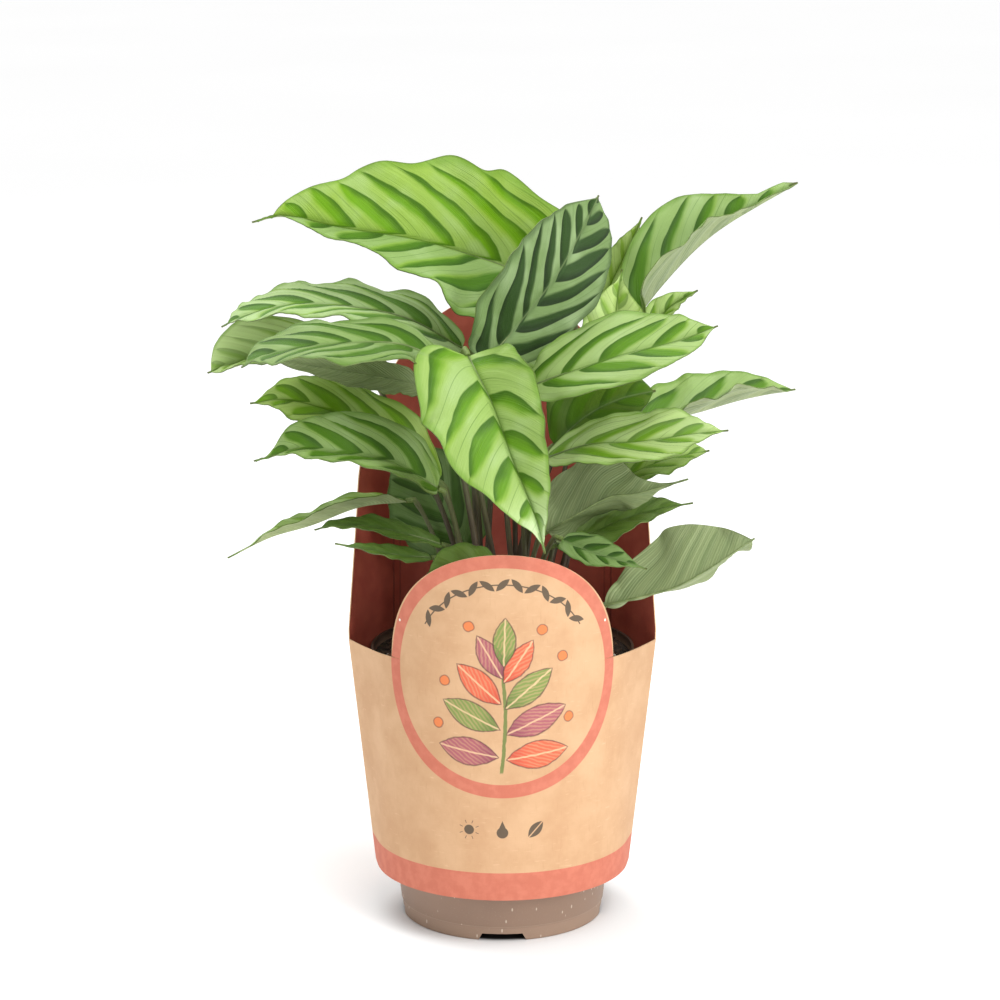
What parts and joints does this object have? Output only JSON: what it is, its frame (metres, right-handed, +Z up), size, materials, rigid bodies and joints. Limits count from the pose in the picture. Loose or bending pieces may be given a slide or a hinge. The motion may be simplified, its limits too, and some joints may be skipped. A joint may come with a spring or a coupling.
{
  "type": "potted calathea",
  "caption": "Leafy calathea with feather-marked leaves on thin stalks, in a round plastic nursery pot wrapped in a creased paper sleeve with a round front tab and a tall back panel.",
  "frame": {"origin": "centre of the plan view, at the underside of the pot's foot ring", "axes": "+Z up along the pot's axis; the front with the round tab looks along -Y; +X to the right as seen from the front"},
  "size_m": [0.2512, 0.1459, 0.3221],
  "materials": {
    "taupe_plastic": "matte, pale speckles",
    "potting_soil": "rough, crumbly",
    "kraft_paper": "matte printed paper, red inside",
    "light_leaf": "satin, light ground with green feather marks",
    "dark_leaf": "satin, darker ground with deep green feather marks",
    "stalk": "satin"
  },
  "bodies": {
    "root": {"pot": "taupe_plastic", "soil": "potting_soil", "sleeve": "kraft_paper", "leaf_01_blade": "light_leaf", "leaf_01_stalk": "stalk", "leaf_02_blade": "dark_leaf", "leaf_02_stalk": "stalk", "leaf_03_blade": "light_leaf", "leaf_03_stalk": "stalk", "leaf_04_blade": "light_leaf", "leaf_04_stalk": "stalk", "leaf_05_blade": "light_leaf", "leaf_05_stalk": "stalk", "leaf_06_blade": "light_leaf", "leaf_06_stalk": "stalk", "leaf_07_blade": "light_leaf", "leaf_07_stalk": "stalk", "leaf_08_blade": "light_leaf", "leaf_08_stalk": "stalk", "leaf_09_blade": "light_leaf", "leaf_09_stalk": "stalk", "leaf_10_blade": "light_leaf", "leaf_10_stalk": "stalk", "leaf_11_blade": "light_leaf", "leaf_11_stalk": "stalk", "leaf_12_blade": "light_leaf", "leaf_12_stalk": "stalk", "leaf_13_blade": "light_leaf", "leaf_13_stalk": "stalk", "leaf_14_blade": "light_leaf", "leaf_14_stalk": "stalk", "leaf_15_blade": "light_leaf", "leaf_15_stalk": "stalk", "leaf_16_blade": "light_leaf", "leaf_16_stalk": "stalk", "leaf_17_blade": "dark_leaf", "leaf_17_stalk": "stalk", "leaf_18_blade": "dark_leaf", "leaf_18_stalk": "stalk", "leaf_19_blade": "light_leaf", "leaf_19_stalk": "stalk", "leaf_20_blade": "light_leaf", "leaf_20_stalk": "stalk", "leaf_21_blade": "light_leaf", "leaf_21_stalk": "stalk", "leaf_22_blade": "light_leaf", "leaf_22_stalk": "stalk", "leaf_23_blade": "light_leaf", "leaf_23_stalk": "stalk", "leaf_24_blade": "light_leaf", "leaf_24_stalk": "stalk", "leaf_25_blade": "light_leaf", "leaf_25_stalk": "stalk", "leaf_26_blade": "light_leaf", "leaf_26_stalk": "stalk", "leaf_27_blade": "light_leaf", "leaf_27_stalk": "stalk", "leaf_28_blade": "light_leaf", "leaf_28_stalk": "stalk"}
  },
  "joints": []
}
